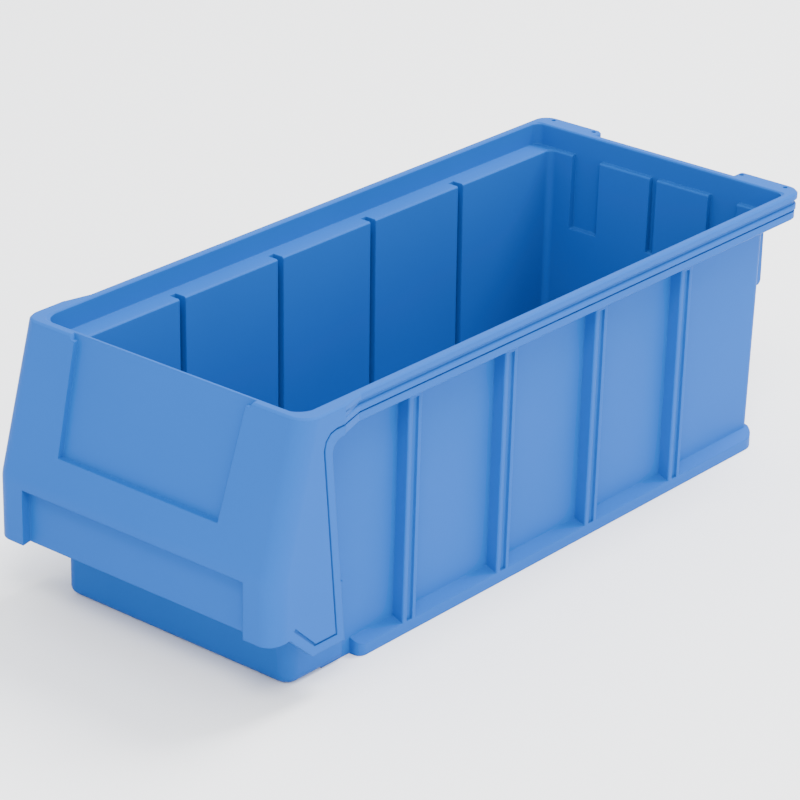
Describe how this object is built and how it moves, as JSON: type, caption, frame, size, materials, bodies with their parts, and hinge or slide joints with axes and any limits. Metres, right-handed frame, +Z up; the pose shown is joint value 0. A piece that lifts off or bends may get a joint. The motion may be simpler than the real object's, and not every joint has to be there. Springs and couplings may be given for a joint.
{
  "type": "shelf bin",
  "caption": "Long open plastic shelf bin with a slanted label front, a finger lip, divider slots along both sides and rear stop tabs.",
  "frame": {"origin": "middle of the bounding box in plan, on the plane that the bin stands on", "axes": "+Z up, +Y towards the back wall with the stop tabs, -Y towards the lip, X across"},
  "size_m": [0.172, 0.4, 0.137],
  "materials": {
    "body": "satin moulded polypropylene, plain blue"
  },
  "bodies": {
    "root": {"shelf_bin": "body"}
  },
  "joints": []
}
